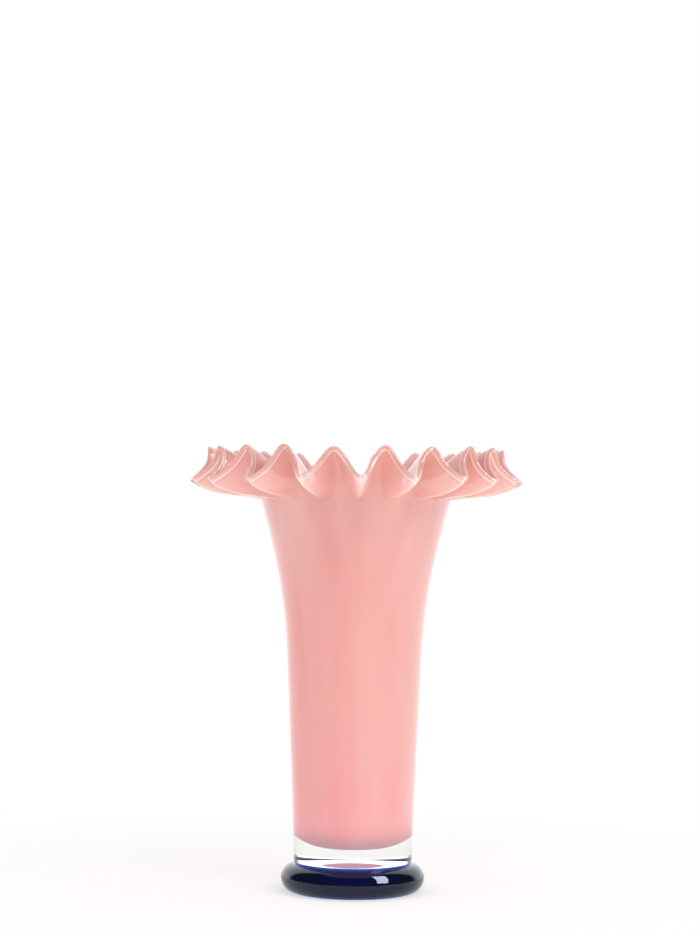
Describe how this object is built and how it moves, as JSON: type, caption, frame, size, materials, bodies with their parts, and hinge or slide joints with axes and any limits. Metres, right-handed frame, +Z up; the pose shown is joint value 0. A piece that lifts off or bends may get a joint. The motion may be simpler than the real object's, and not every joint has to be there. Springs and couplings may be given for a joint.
{
  "type": "ruffled vase",
  "caption": "Tall cased glass vase: a tapering pink body that flares into a crimped, pleated collar, on a clear base with a blue foot ring.",
  "frame": {"origin": "centre of the circle on which the foot ring stands, on the table", "axes": "+Z up along the vase's axis, -Y towards the front, +X to the right seen from the front"},
  "size_m": [0.227, 0.2277, 0.3],
  "materials": {
    "clear_glass": "clear, fire-polished gloss",
    "pink_glass": "opal pink, soft gloss",
    "blue_glass": "deep cobalt, fire-polished gloss"
  },
  "bodies": {
    "root": {"clear_casing": "clear_glass", "pink_lining": "pink_glass", "blue_foot": "blue_glass"}
  },
  "joints": []
}
